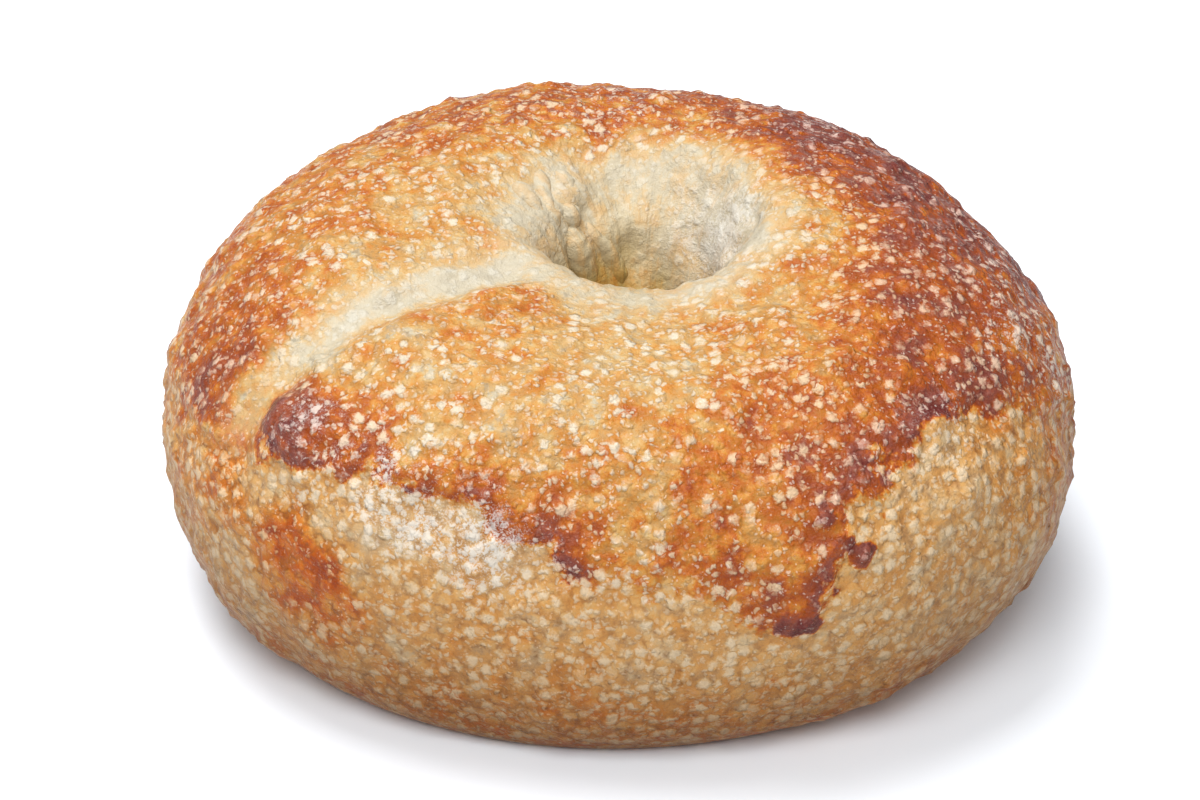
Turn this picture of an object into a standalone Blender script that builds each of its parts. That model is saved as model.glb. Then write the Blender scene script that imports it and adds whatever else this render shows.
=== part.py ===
"""A plain boiled and baked bagel, one piece of bread with a puckered hole.

A ring section is turned about the vertical axis, then shaped as dough is: pulled into
uneven lobes, puckered round the hole, folded where the ends of the roll were pressed
together, and raised into a blistered top crust with an edge. Metres, +Z up, with the
origin on the table under the middle of the bagel and the camera side at -Y.
"""

import math

import bmesh
import bpy
import numpy as np

MM = 0.001
SMALLEST = 0.0001 * MM

# Overall form
OUTER_RADIUS = 55.1 * MM
CREST_HEIGHT = 49.3 * MM
CREST_RADIUS = 28.0 * MM
BELLY_HEIGHT = 22.7 * MM
FOOT_RADIUS = 42.5 * MM

# The hole: a funnel down to a waist, then a throat that widens to the base
WAIST_RADIUS = 6.6 * MM
WAIST_HEIGHT = 20.0 * MM
INNER_FOOT_RADIUS = 14.0 * MM
HOLE_SHIFT = (3.4 * MM, 3.0 * MM)
HOLE_OVAL = 2.2 * MM
HOLE_REACH = 24.0 * MM

# How full each quarter of the section is: 2 is an ellipse, and more is squarer.
# The funnel is squarest on its near side, which is a lip over a steep wall.
UNDER_FULLNESS = 2.0
SIDE_FULLNESS = 2.05
FUNNEL_FULLNESS = 3.5
FUNNEL_SWING = 1.5
FUNNEL_LIP_AZIMUTH = -112.0
THROAT_FULLNESS = 2.2

# Uneven lobes, each (waves round the ring, amplitude, azimuth in degrees)
OUTER_LOBES = ((2, 3.8 * MM, -35), (3, 1.6 * MM, -63), (4, 0.6 * MM, 147))
CREST_LOBES = ((1, 2.9 * MM, 81), (2, 0.8 * MM, 37))
FOOT_LOBES = ((1, 1.5 * MM, 94), (2, 1.7 * MM, 125), (3, 0.4 * MM, -176))

# The fold where the roll's ends meet: a valley that runs out from the hole to the left
# front side, gentle behind and steep in front, where the front lobe's end is swollen
FOLD_AZIMUTH = -147.5
FOLD_DEPTH = 1.8 * MM
FOLD_WIDTH_BEHIND = 5.5 * MM
FOLD_WIDTH_IN_FRONT = 2.6 * MM
FOLD_STARTS = (9.0 * MM, 16.0 * MM)
FOLD_FADES = (29.0 * MM, 39.0 * MM)
FOLD_LIP = (-37.5 * MM, -32.5 * MM, 39.5 * MM)
FOLD_LIP_HEIGHT = 1.3 * MM
FOLD_LIP_RADIUS = 7.5 * MM

# The lower edge of the browned top crust: (azimuth in degrees, height above the table)
CRUST_EDGE = (
    (-180, 30 * MM), (-155, 34 * MM), (-140, 36.5 * MM), (-112, 35.5 * MM),
    (-98, 32.5 * MM), (-86, 31 * MM), (-74, 25.5 * MM), (-65, 23 * MM),
    (-60, 30 * MM), (-55, 39 * MM), (-40, 41 * MM), (-24, 37 * MM),
    (-5, 27 * MM), (25, 23 * MM), (60, 27 * MM), (85, 33 * MM),
    (110, 29 * MM), (140, 24 * MM), (165, 27 * MM),
)
CRUST_STEP = 0.6 * MM
CRUST_STEP_WIDTH = 2.2 * MM
CRUST_STARTS = (28.0 * MM, 38.0 * MM)
EDGE_WANDER = ((9.0 * MM, 2.2 * MM, 40), (4.5 * MM, 1.1 * MM, 44))

# Pleats down the funnel wall, each like a lobe, the hollow behind the hole, and torn
# flaps of dough on the far wall, each (x, y, z, radius, height)
PLEATS = ((5, 0.45 * MM, 20), (9, 0.35 * MM, 65), (14, 0.25 * MM, 140))
PLEATS_FADE = (9.0 * MM, 15.0 * MM)
PLEATS_START = (20.0 * MM, 39.0 * MM)
PLEATS_UNEVEN_SIZE = 14.0 * MM
HOLLOW = (2.0 * MM, 21.0 * MM, 50.0 * MM)
HOLLOW_DEPTH = 2.4 * MM
HOLLOW_RADIUS = 12.0 * MM
TORN_FLAPS = (
    (-5.0 * MM, 14.5 * MM, 46.0 * MM, 2.4 * MM, 1.4 * MM),
    (-8.0 * MM, 10.5 * MM, 45.0 * MM, 2.2 * MM, 1.2 * MM),
    (-2.0 * MM, 12.5 * MM, 41.0 * MM, 2.4 * MM, 1.2 * MM),
)

# Lumps and blisters of the crust
SWELL_SIZE = 24.0 * MM
SWELL_HEIGHT = 0.9 * MM
LUMP_SIZE = 11.0 * MM
LUMP_HEIGHT = 0.45 * MM
BLISTER_SPACING = 9.5 * MM
BLISTER_RADII = (2.6 * MM, 5.4 * MM)
BLISTER_HEIGHT = 0.75 * MM
LUMPS_FADE = (10.5 * MM, 22.5 * MM)
BASE_FADES = (1.0 * MM, 7.0 * MM)

# Where the middle of the shaped ring falls, before it is moved over the origin
MIDDLE = (0.63 * MM, 1.52 * MM)

# Rows of faces along the section, and sections round the ring
UNDER_ROWS, SIDE_ROWS, FUNNEL_ROWS, THROAT_ROWS, BASE_ROWS = 9, 16, 16, 6, 4
SECTIONS = 114

CRUST_COLOUR = (0.64, 0.33, 0.11, 1.0)
CRUST_ROUGHNESS = 0.55


def share_of(value, low, high):
    """How far value is on its way from low to high, from 0 to 1."""
    return np.clip((value - low) / (high - low), 0.0, 1.0)


def smooth(value, low, high):
    """0 below low, 1 above high, and a smooth step between."""
    share = share_of(value, low, high)
    return share * share * (3.0 - 2.0 * share)


def lobed(azimuth, lobes):
    """The sum of the cosine waves in lobes at each azimuth, in radians."""
    return sum(
        height * np.cos(waves * azimuth - math.radians(turn))
        for waves, height, turn in lobes
    )


def quarter(rows, fullness):
    """Sine and cosine shares along a quarter of a superellipse, without its far end."""
    turn = np.linspace(0.0, math.pi / 2, rows, endpoint=False)
    power = 2.0 / fullness
    return np.sin(turn) ** power, np.cos(turn) ** power


def ring_section():
    """Radius and height round the section: under, side, funnel, throat, then the base."""
    rise, fall = quarter(UNDER_ROWS, UNDER_FULLNESS)
    under = (
        FOOT_RADIUS + (OUTER_RADIUS - FOOT_RADIUS) * rise,
        BELLY_HEIGHT * (1.0 - fall),
    )
    rise, fall = quarter(SIDE_ROWS, SIDE_FULLNESS)
    side = (
        CREST_RADIUS + (OUTER_RADIUS - CREST_RADIUS) * fall,
        BELLY_HEIGHT + (CREST_HEIGHT - BELLY_HEIGHT) * rise,
    )
    rise, fall = quarter(FUNNEL_ROWS, FUNNEL_FULLNESS)
    funnel = (
        CREST_RADIUS - (CREST_RADIUS - WAIST_RADIUS) * rise,
        WAIST_HEIGHT + (CREST_HEIGHT - WAIST_HEIGHT) * fall,
    )
    rise, fall = quarter(THROAT_ROWS, THROAT_FULLNESS)
    throat = (
        INNER_FOOT_RADIUS - (INNER_FOOT_RADIUS - WAIST_RADIUS) * fall,
        WAIST_HEIGHT * (1.0 - rise),
    )
    share = np.linspace(0.0, 1.0, BASE_ROWS, endpoint=False)
    base = (
        INNER_FOOT_RADIUS + (FOOT_RADIUS - INNER_FOOT_RADIUS) * share,
        np.zeros(BASE_ROWS),
    )
    parts = (under, side, funnel, throat, base)
    return np.concatenate([part[0] for part in parts]), np.concatenate([part[1] for part in parts])


def lattice(cell, channel):
    """A repeatable number from 0 to 1 for each whole-numbered cell."""
    cell = cell.astype(np.int64).astype(np.uint32)
    mixed = (
        cell[..., 0] * np.uint32(73856093)
        ^ cell[..., 1] * np.uint32(19349663)
        ^ cell[..., 2] * np.uint32(83492791)
    )
    mixed = mixed + np.uint32((channel * 2654435761) % 2**32)
    for shift in (15, 12, 16):
        mixed = (mixed ^ (mixed >> np.uint32(shift))) * np.uint32(2246822519)
    return (mixed >> np.uint32(8)) / 2.0**24


def corner_offsets(low, high):
    """All whole-numbered steps from low to high along X, Y and Z."""
    steps = np.arange(low, high + 1)
    return np.stack(np.meshgrid(steps, steps, steps, indexing="ij"), -1).reshape(-1, 3)


def noise(points, size, channel):
    """Gradient noise of about -1 to 1, whose features are size across."""
    place = points / size
    cell = np.floor(place)
    inner = place - cell
    fade = inner**3 * (inner * (inner * 6.0 - 15.0) + 10.0)
    total = np.zeros(len(points))
    for offset in corner_offsets(0, 1):
        corner = cell + offset
        slope = np.stack([lattice(corner, channel + k) for k in range(3)], -1) * 2.0 - 1.0
        weight = np.prod(np.where(offset == 1, fade, 1.0 - fade), -1)
        total += weight * ((inner - offset) * slope).sum(-1)
    return total * 1.6


def domes(points, spacing, radii, channel):
    """Scattered round domes, 1 high at the middle of the largest, one to a cell."""
    cell = np.floor(points / spacing)
    highest = np.zeros(len(points))
    for offset in corner_offsets(-1, 1):
        home = cell + offset
        spot = np.stack([lattice(home, channel + k) for k in range(3)], -1)
        radius = radii[0] + (radii[1] - radii[0]) * lattice(home, channel + 3) ** 2
        away = ((points - (home + spot) * spacing) ** 2).sum(-1) / radius**2
        height = radius / radii[1] * np.clip(1.0 - away, 0.0, 1.0) ** 1.5
        highest = np.maximum(highest, height)
    return highest


def bump(points, place, radius):
    """A smooth round rise, 1 at place and falling away over radius."""
    return np.exp(-((points - np.array(place)) ** 2).sum(-1) / radius**2)


def edge_height(azimuth):
    """The height of the crust's lower edge at each azimuth, in radians."""
    turns = [point[0] for point in CRUST_EDGE] + [CRUST_EDGE[0][0] + 360]
    heights = [point[1] for point in CRUST_EDGE] + [CRUST_EDGE[0][1]]
    return np.interp(np.degrees(azimuth), turns, heights)


def funnel_height(radius, azimuth):
    """The funnel's height at each radius, with its own fullness at each azimuth."""
    facing = np.cos(azimuth - math.radians(FUNNEL_LIP_AZIMUTH))
    fullness = FUNNEL_FULLNESS + FUNNEL_SWING * facing
    inwards = share_of(radius, CREST_RADIUS, WAIST_RADIUS)
    return WAIST_HEIGHT + (CREST_HEIGHT - WAIST_HEIGHT) * (1.0 - inwards**fullness) ** (1.0 / fullness)


def shaped(points):
    """Pulls the turned ring into uneven lobes and moves its hole off centre."""
    azimuth = np.arctan2(points[:, 1], points[:, 0])
    radius = np.hypot(points[:, 0], points[:, 1])
    height = points[:, 2]
    in_funnel = (radius < CREST_RADIUS) & (height > WAIST_HEIGHT + SMALLEST)
    height = np.where(in_funnel, funnel_height(radius, azimuth), height)
    above = height > BELLY_HEIGHT
    outwards = share_of(radius, np.where(above, CREST_RADIUS, FOOT_RADIUS), OUTER_RADIUS)
    footing = np.where(above, 0.0, share_of(radius, INNER_FOOT_RADIUS, FOOT_RADIUS) - outwards)
    radius = radius + outwards * lobed(azimuth, OUTER_LOBES) + footing * lobed(azimuth, FOOT_LOBES)
    height = height + share_of(height, BELLY_HEIGHT, CREST_HEIGHT) * lobed(azimuth, CREST_LOBES)
    off_centre = 1.0 - smooth(radius, WAIST_RADIUS, HOLE_REACH)
    radius = radius + off_centre * HOLE_OVAL * np.cos(2.0 * azimuth)
    return np.stack(
        [
            radius * np.cos(azimuth) + off_centre * HOLE_SHIFT[0],
            radius * np.sin(azimuth) + off_centre * HOLE_SHIFT[1],
            height,
        ],
        -1,
    )


def fold_relief(points, azimuth, radius):
    """The valley of the fold, with the end of the front lobe swollen beside it."""
    turn = azimuth - math.radians(FOLD_AZIMUTH)
    across = radius * np.sin(turn)
    width = np.where(across < 0.0, FOLD_WIDTH_BEHIND, FOLD_WIDTH_IN_FRONT)
    depth = FOLD_DEPTH * smooth(radius, *FOLD_STARTS) * smooth(points[:, 2], *FOLD_FADES)
    valley = np.where(np.cos(turn) > 0.0, -depth * np.exp(-((across / width) ** 2)), 0.0)
    return valley + FOLD_LIP_HEIGHT * bump(points, FOLD_LIP, FOLD_LIP_RADIUS)


def crust_relief(points, azimuth, radius):
    """The step at the lower edge of the top crust, which wanders up and down."""
    wander = sum(height * noise(points, size, channel) for size, height, channel in EDGE_WANDER)
    above = points[:, 2] - edge_height(azimuth) + wander
    step = smooth(above, -CRUST_STEP_WIDTH / 2, CRUST_STEP_WIDTH / 2)
    return CRUST_STEP * step * smooth(radius, *CRUST_STARTS)


def funnel_relief(points, hole_azimuth, hole_radius):
    """Pleats that gather towards the hole, the hollow behind it, and torn flaps of dough."""
    gathered = 1.0 - smooth(hole_radius, *PLEATS_FADE)
    gathered = gathered * smooth(points[:, 2], *PLEATS_START)
    uneven = 0.6 + 0.8 * noise(points, PLEATS_UNEVEN_SIZE, 52)
    relief = gathered * uneven * lobed(hole_azimuth, PLEATS)
    relief = relief - HOLLOW_DEPTH * bump(points, HOLLOW, HOLLOW_RADIUS)
    for x, y, z, radius, height in TORN_FLAPS:
        relief = relief + height * bump(points, (x, y, z), radius)
    return relief


def relief_of(points):
    """How far the crust stands out from the shaped ring at each point."""
    azimuth = np.arctan2(points[:, 1], points[:, 0])
    radius = np.hypot(points[:, 0], points[:, 1])
    across, along = points[:, 0] - HOLE_SHIFT[0], points[:, 1] - HOLE_SHIFT[1]
    hole_radius, hole_azimuth = np.hypot(across, along), np.arctan2(along, across)
    lumps = SWELL_HEIGHT * noise(points, SWELL_SIZE, 0) + LUMP_HEIGHT * noise(points, LUMP_SIZE, 4)
    lumps = lumps + BLISTER_HEIGHT * domes(points, BLISTER_SPACING, BLISTER_RADII, 8)
    relief = lumps * smooth(hole_radius, *LUMPS_FADE)
    relief = relief + fold_relief(points, azimuth, radius)
    relief = relief + crust_relief(points, azimuth, radius)
    relief = relief + funnel_relief(points, hole_azimuth, hole_radius)
    return relief * smooth(points[:, 2], *BASE_FADES)


def turned_ring():
    """The section spun round the vertical axis, as a closed mesh."""
    radii, heights = ring_section()
    ring = bmesh.new()
    verts = [ring.verts.new((r, 0.0, z)) for r, z in zip(radii, heights)]
    edges = [ring.edges.new((verts[k - 1], verts[k])) for k in range(len(verts))]
    bmesh.ops.spin(
        ring,
        geom=verts + edges,
        axis=(0.0, 0.0, 1.0),
        cent=(0.0, 0.0, 0.0),
        steps=SECTIONS,
        angle=2 * math.pi,
        use_merge=True,
    )
    bmesh.ops.remove_doubles(ring, verts=ring.verts[:], dist=SMALLEST)
    bmesh.ops.recalc_face_normals(ring, faces=ring.faces[:])
    mesh = bpy.data.meshes.new("bagel")
    ring.to_mesh(mesh)
    ring.free()
    return mesh


def read_vectors(items, name):
    """One vector for each item, such as each vertex's place or normal."""
    values = np.empty(len(items) * 3, np.float32)
    items.foreach_get(name, values)
    return values.reshape(-1, 3).astype(float)


def move_vertices(mesh, points):
    mesh.vertices.foreach_set("co", points.astype(np.float32).ravel())
    mesh.update()


def crust_material():
    material = bpy.data.materials.new("golden_crust")
    material.use_nodes = True
    shader = material.node_tree.nodes["Principled BSDF"]
    shader.inputs["Base Color"].default_value = CRUST_COLOUR
    shader.inputs["Roughness"].default_value = CRUST_ROUGHNESS
    shader.inputs["Metallic"].default_value = 0.0
    return material


def make_bagel():
    mesh = turned_ring()
    move_vertices(mesh, shaped(read_vectors(mesh.vertices, "co")))
    points = read_vectors(mesh.vertices, "co")
    normals = read_vectors(mesh.vertices, "normal")
    raised = points + normals * relief_of(points)[:, None]
    raised[:, 2] = np.maximum(raised[:, 2], 0.0)
    raised[:, :2] -= MIDDLE
    move_vertices(mesh, raised)
    mesh.materials.append(crust_material())
    mesh.shade_smooth()
    bagel = bpy.data.objects.new("bagel", mesh)
    bpy.context.scene.collection.objects.link(bagel)
    return bagel


for old in list(bpy.data.objects):
    bpy.data.objects.remove(old, do_unlink=True)
make_bagel()
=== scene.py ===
import math

import bpy
import numpy as np
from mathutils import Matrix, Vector


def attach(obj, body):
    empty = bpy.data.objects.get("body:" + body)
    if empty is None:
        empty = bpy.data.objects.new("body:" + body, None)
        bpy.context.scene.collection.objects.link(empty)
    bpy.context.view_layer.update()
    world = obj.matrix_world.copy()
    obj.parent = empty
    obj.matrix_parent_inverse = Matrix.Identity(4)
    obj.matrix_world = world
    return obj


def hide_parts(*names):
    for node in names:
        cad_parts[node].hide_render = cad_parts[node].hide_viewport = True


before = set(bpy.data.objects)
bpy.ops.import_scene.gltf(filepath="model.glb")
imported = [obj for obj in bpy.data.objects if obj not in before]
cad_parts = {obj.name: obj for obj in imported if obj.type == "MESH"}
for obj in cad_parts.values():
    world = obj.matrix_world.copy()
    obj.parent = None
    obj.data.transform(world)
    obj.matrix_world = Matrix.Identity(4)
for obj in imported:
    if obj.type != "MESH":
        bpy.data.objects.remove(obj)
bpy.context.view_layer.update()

# The bread: one piece of boiled and baked dough, rolled into a ring whose ends meet in a
# fold on the left front. Its surface is a ring section carried round the hole, pulled
# into uneven lobes, and raised into lumps, blisters and a browned top crust with an edge.
MM = 0.001
OUTER_RADIUS = 55.1 * MM
CREST_HEIGHT = 49.3 * MM
CREST_RADIUS = 28.0 * MM
BELLY_HEIGHT = 22.7 * MM
FOOT_RADIUS = 42.5 * MM
WAIST_RADIUS = 6.6 * MM
WAIST_HEIGHT = 20.0 * MM
INNER_FOOT_RADIUS = 14.0 * MM
HOLE_SHIFT = (3.4 * MM, 3.0 * MM)
HOLE_OVAL = 2.2 * MM
HOLE_REACH = 24.0 * MM
UNDER_FULLNESS = 2.0
SIDE_FULLNESS = 2.05
FUNNEL_FULLNESS = 3.5
FUNNEL_SWING = 1.5
FUNNEL_LIP_AZIMUTH = -112.0
THROAT_FULLNESS = 2.2
OUTER_LOBES = ((2, 3.8 * MM, -35), (3, 1.6 * MM, -63), (4, 0.6 * MM, 147))
CREST_LOBES = ((1, 2.9 * MM, 81), (2, 0.8 * MM, 37))
FOOT_LOBES = ((1, 1.5 * MM, 94), (2, 1.7 * MM, 125), (3, 0.4 * MM, -176))
MIDDLE = np.array((0.63 * MM, 1.52 * MM, 0.0))

# Rows along the section, from the foot round to the foot again, and sections round it
UNDER_ROWS, SIDE_ROWS, FUNNEL_ROWS, THROAT_ROWS, BASE_ROWS = 24, 78, 54, 6, 4
SECTIONS = 600


def share_of(value, low, high):
    """How far value is on its way from low to high, from 0 to 1."""
    return np.clip((value - low) / (high - low), 0.0, 1.0)


def smooth(value, low, high):
    """0 below low, 1 above high, and a smooth step between."""
    share = share_of(value, low, high)
    return share * share * (3.0 - 2.0 * share)


def lobed(azimuth, lobes):
    """The sum of cosine waves round the ring, each with its count, height and turn."""
    return sum(height * np.cos(waves * azimuth - math.radians(turn)) for waves, height, turn in lobes)


def quarter(rows, fullness):
    """Both shares of a superellipse's quarter at even angles, without its far end.

    The point at angle t lies where (cos t, sin t) meets the curve u**p + v**p = 1, so
    its distance from the middle is (cos t**p + sin t**p) ** (-1 / p).
    """
    turn = np.linspace(0.0, math.pi / 2, rows, endpoint=False)[:, None]
    reach = (np.cos(turn) ** fullness + np.sin(turn) ** fullness) ** (-1.0 / fullness)
    return reach * np.sin(turn), reach * np.cos(turn)


def ring_surface():
    """The smooth ring, as a grid of points with a row for each step along the section.

    The section's five stretches are quarters of superellipses between the foot, the
    belly, the crest, the waist of the hole and the base, and the funnel's fullness
    changes with azimuth. Cosine lobes then push the radius and the height about.
    """
    azimuth = np.linspace(-math.pi, math.pi, SECTIONS, endpoint=False)[None, :]
    even = np.ones_like(azimuth)
    rise, fall = quarter(UNDER_ROWS, UNDER_FULLNESS)
    under = FOOT_RADIUS + (OUTER_RADIUS - FOOT_RADIUS) * rise * even, BELLY_HEIGHT * (1.0 - fall) * even
    rise, fall = quarter(SIDE_ROWS, SIDE_FULLNESS)
    side = (
        CREST_RADIUS + (OUTER_RADIUS - CREST_RADIUS) * fall * even,
        BELLY_HEIGHT + (CREST_HEIGHT - BELLY_HEIGHT) * rise * even,
    )
    facing = np.cos(azimuth - math.radians(FUNNEL_LIP_AZIMUTH))
    rise, fall = quarter(FUNNEL_ROWS, FUNNEL_FULLNESS + FUNNEL_SWING * facing)
    funnel = (
        CREST_RADIUS - (CREST_RADIUS - WAIST_RADIUS) * rise,
        WAIST_HEIGHT + (CREST_HEIGHT - WAIST_HEIGHT) * fall,
    )
    rise, fall = quarter(THROAT_ROWS, THROAT_FULLNESS)
    throat = (
        INNER_FOOT_RADIUS - (INNER_FOOT_RADIUS - WAIST_RADIUS) * fall * even,
        WAIST_HEIGHT * (1.0 - rise) * even,
    )
    share = np.linspace(0.0, 1.0, BASE_ROWS, endpoint=False)[:, None]
    base = INNER_FOOT_RADIUS + (FOOT_RADIUS - INNER_FOOT_RADIUS) * share * even, 0.0 * share * even
    stretches = (under, side, funnel, throat, base)
    radius = np.concatenate([stretch[0] for stretch in stretches])
    height = np.concatenate([stretch[1] for stretch in stretches])
    above = height > BELLY_HEIGHT
    outwards = share_of(radius, np.where(above, CREST_RADIUS, FOOT_RADIUS), OUTER_RADIUS)
    footing = np.where(above, 0.0, share_of(radius, INNER_FOOT_RADIUS, FOOT_RADIUS) - outwards)
    radius = radius + outwards * lobed(azimuth, OUTER_LOBES) + footing * lobed(azimuth, FOOT_LOBES)
    height = height + share_of(height, BELLY_HEIGHT, CREST_HEIGHT) * lobed(azimuth, CREST_LOBES)
    off_centre = 1.0 - smooth(radius, WAIST_RADIUS, HOLE_REACH)
    radius = radius + off_centre * HOLE_OVAL * np.cos(2.0 * azimuth)
    x = radius * np.cos(azimuth) + off_centre * HOLE_SHIFT[0]
    y = radius * np.sin(azimuth) + off_centre * HOLE_SHIFT[1]
    return np.stack([x, y, height], -1)


def unit(vectors):
    """The vectors, each divided by its own length."""
    return vectors / np.linalg.norm(vectors, axis=-1, keepdims=True)


def normals_of(grid):
    """Unit normals of a grid that closes both ways: the cross product of its two slopes."""
    along = np.roll(grid, -1, 0) - np.roll(grid, 1, 0)
    around = np.roll(grid, -1, 1) - np.roll(grid, 1, 1)
    return unit(np.cross(around, along))


CELL_PRIMES = (73856093, 19349663, 83492791)
CHANNEL_PRIME = 2654435761
MIXING_PRIME = 2246822519
MIXING_SHIFTS = (15, 12, 16)


def lattice(cell, channel):
    """A repeatable number from 0 to 1 for each whole-numbered cell: its bits, mixed by primes."""
    scaled = cell.astype(np.int64).astype(np.uint32) * np.array(CELL_PRIMES, np.uint32)
    mixed = scaled[..., 0] ^ scaled[..., 1] ^ scaled[..., 2]
    mixed = mixed + np.uint32((channel * CHANNEL_PRIME) % 2**32)
    for shift in MIXING_SHIFTS:
        mixed = (mixed ^ (mixed >> np.uint32(shift))) * np.uint32(MIXING_PRIME)
    return (mixed >> np.uint32(8)) / 2.0**24


def corner_offsets(low, high):
    """All whole-numbered steps from low to high along X, Y and Z."""
    steps = np.arange(low, high + 1)
    return np.stack(np.meshgrid(steps, steps, steps, indexing="ij"), -1).reshape(-1, 3)


NOISE_REACH = 1.6


def noise(points, size, channel):
    """Gradient noise of about -1 to 1, whose features are size across.

    Each corner of a cell has a slope, and the heights that the slopes give at a point
    are blended by the quintic fade 6 t**5 - 15 t**4 + 10 t**3 along X, Y and Z. The
    channel chooses the slopes: those of channels 3 or more apart have nothing in common.
    """
    place = points / size
    cell = np.floor(place)
    inner = place - cell
    fade = inner**3 * (inner * (inner * 6.0 - 15.0) + 10.0)
    total = np.zeros(points.shape[:-1])
    for offset in corner_offsets(0, 1):
        corner = cell + offset
        slope = np.stack([lattice(corner, channel + k) for k in range(3)], -1) * 2.0 - 1.0
        weight = np.prod(np.where(offset == 1, fade, 1.0 - fade), -1)
        total += weight * ((inner - offset) * slope).sum(-1)
    return total * NOISE_REACH


def domes(points, spacing, radii, channel):
    """Scattered round domes, one to a cell, 1 high at the middle of the largest.

    Each is (1 - distance**2 / radius**2) ** 1.5, times its share of the largest radius.
    """
    cell = np.floor(points / spacing)
    highest = np.zeros(points.shape[:-1])
    for offset in corner_offsets(-1, 1):
        home = cell + offset
        spot = np.stack([lattice(home, channel + k) for k in range(3)], -1)
        radius = radii[0] + (radii[1] - radii[0]) * lattice(home, channel + 3) ** 2
        away = ((points - (home + spot) * spacing) ** 2).sum(-1) / radius**2
        height = radius / radii[1] * np.clip(1.0 - away, 0.0, 1.0) ** 1.5
        highest = np.maximum(highest, height)
    return highest


def bump(points, place, radius):
    """A smooth round rise, 1 at place: the bell curve exp(-distance**2 / radius**2)."""
    return np.exp(-((points - np.array(place)) ** 2).sum(-1) / radius**2)


# The fold, where one end of the roll lies over the other: a pale valley from the hole to
# the left front side, and the swollen, browned end of the front lobe along it
FOLD_AZIMUTH = -147.5
FOLD_DEPTH = 1.8 * MM
FOLD_WIDTH_BEHIND = 5.5 * MM
FOLD_WIDTH_IN_FRONT = 2.6 * MM
FOLD_STARTS = (9.0 * MM, 16.0 * MM)
FOLD_FADES = (29.0 * MM, 39.0 * MM)
FOLD_LIP = (-37.5 * MM, -32.5 * MM, 39.5 * MM)
FOLD_LIP_HEIGHT = 1.3 * MM
FOLD_LIP_RADIUS = 7.5 * MM


def fold_across(azimuth, radius):
    """The distance across the fold, above 0 on the front lobe, and far away behind the hole."""
    turn = azimuth - math.radians(FOLD_AZIMUTH)
    return np.where(np.cos(turn) > 0.0, radius * np.sin(turn), OUTER_RADIUS)


def fold_relief(points, azimuth, radius):
    """A bell-shaped valley, wider behind than in front, and the lobe's swollen end."""
    across = fold_across(azimuth, radius)
    width = np.where(across < 0.0, FOLD_WIDTH_BEHIND, FOLD_WIDTH_IN_FRONT)
    depth = FOLD_DEPTH * smooth(radius, *FOLD_STARTS) * smooth(points[..., 2], *FOLD_FADES)
    valley = depth * np.exp(-((across / width) ** 2))
    return FOLD_LIP_HEIGHT * bump(points, FOLD_LIP, FOLD_LIP_RADIUS) - valley


# The browned crust on top, which ends in a wandering step: its edge is
# (azimuth in degrees, height above the table)
CRUST_EDGE = (
    (-180, 30 * MM), (-155, 34 * MM), (-143, 35.5 * MM), (-128, 37 * MM), (-113, 37.4 * MM),
    (-106, 35.6 * MM), (-100, 33.4 * MM), (-96, 30.6 * MM), (-92, 28.8 * MM), (-87, 28 * MM),
    (-79, 27 * MM), (-70, 24.5 * MM), (-66, 22.5 * MM), (-64, 25.5 * MM), (-62.5, 28.5 * MM),
    (-60.5, 31.6 * MM), (-58, 34.9 * MM), (-54, 37.4 * MM), (-48, 38.6 * MM), (-41, 39.8 * MM),
    (-30, 40 * MM), (-20, 33.5 * MM), (-5, 27 * MM), (25, 23 * MM), (60, 27 * MM), (85, 33 * MM),
    (110, 29 * MM), (140, 24 * MM), (165, 27 * MM),
)
CRUST_STEP = 0.6 * MM
CRUST_STEP_WIDTH = 2.2 * MM
CRUST_STARTS = (28.0 * MM, 38.0 * MM)
EDGE_WANDER = ((9.0 * MM, 2.2 * MM, 40), (4.5 * MM, 1.1 * MM, 44))


def above_edge(points, azimuth):
    """How far each point is above the crust's lower edge, which noise bends up and down."""
    turns = [point[0] for point in CRUST_EDGE] + [CRUST_EDGE[0][0] + 360]
    heights = [point[1] for point in CRUST_EDGE] + [CRUST_EDGE[0][1]]
    wander = sum(height * noise(points, size, channel) for size, height, channel in EDGE_WANDER)
    return points[..., 2] - np.interp(np.degrees(azimuth), turns, heights) + wander


def crust_relief(points, azimuth, radius):
    """A smooth step up where the top crust begins."""
    step = smooth(above_edge(points, azimuth), -CRUST_STEP_WIDTH / 2, CRUST_STEP_WIDTH / 2)
    return CRUST_STEP * step * smooth(radius, *CRUST_STARTS)


# The funnel of the hole: pleats that gather towards it, the hollow behind it, and torn
# flaps of dough on its far wall, each (x, y, z, radius, height)
PLEATS = ((5, 0.45 * MM, 20), (9, 0.35 * MM, 65), (14, 0.25 * MM, 140))
PLEATS_FADE = (9.0 * MM, 15.0 * MM)
PLEATS_START = (20.0 * MM, 39.0 * MM)
PLEATS_EVEN, PLEATS_UNEVEN = 0.6, 0.8
PLEATS_UNEVEN_SIZE = 14.0 * MM
HOLLOW = (2.0 * MM, 21.0 * MM, 50.0 * MM)
HOLLOW_DEPTH = 2.4 * MM
HOLLOW_RADIUS = 12.0 * MM
TORN_FLAPS = (
    (-5.0 * MM, 14.5 * MM, 46.0 * MM, 2.4 * MM, 1.4 * MM),
    (-8.0 * MM, 10.5 * MM, 45.0 * MM, 2.2 * MM, 1.2 * MM),
    (-2.0 * MM, 12.5 * MM, 41.0 * MM, 2.4 * MM, 1.2 * MM),
)


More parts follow.
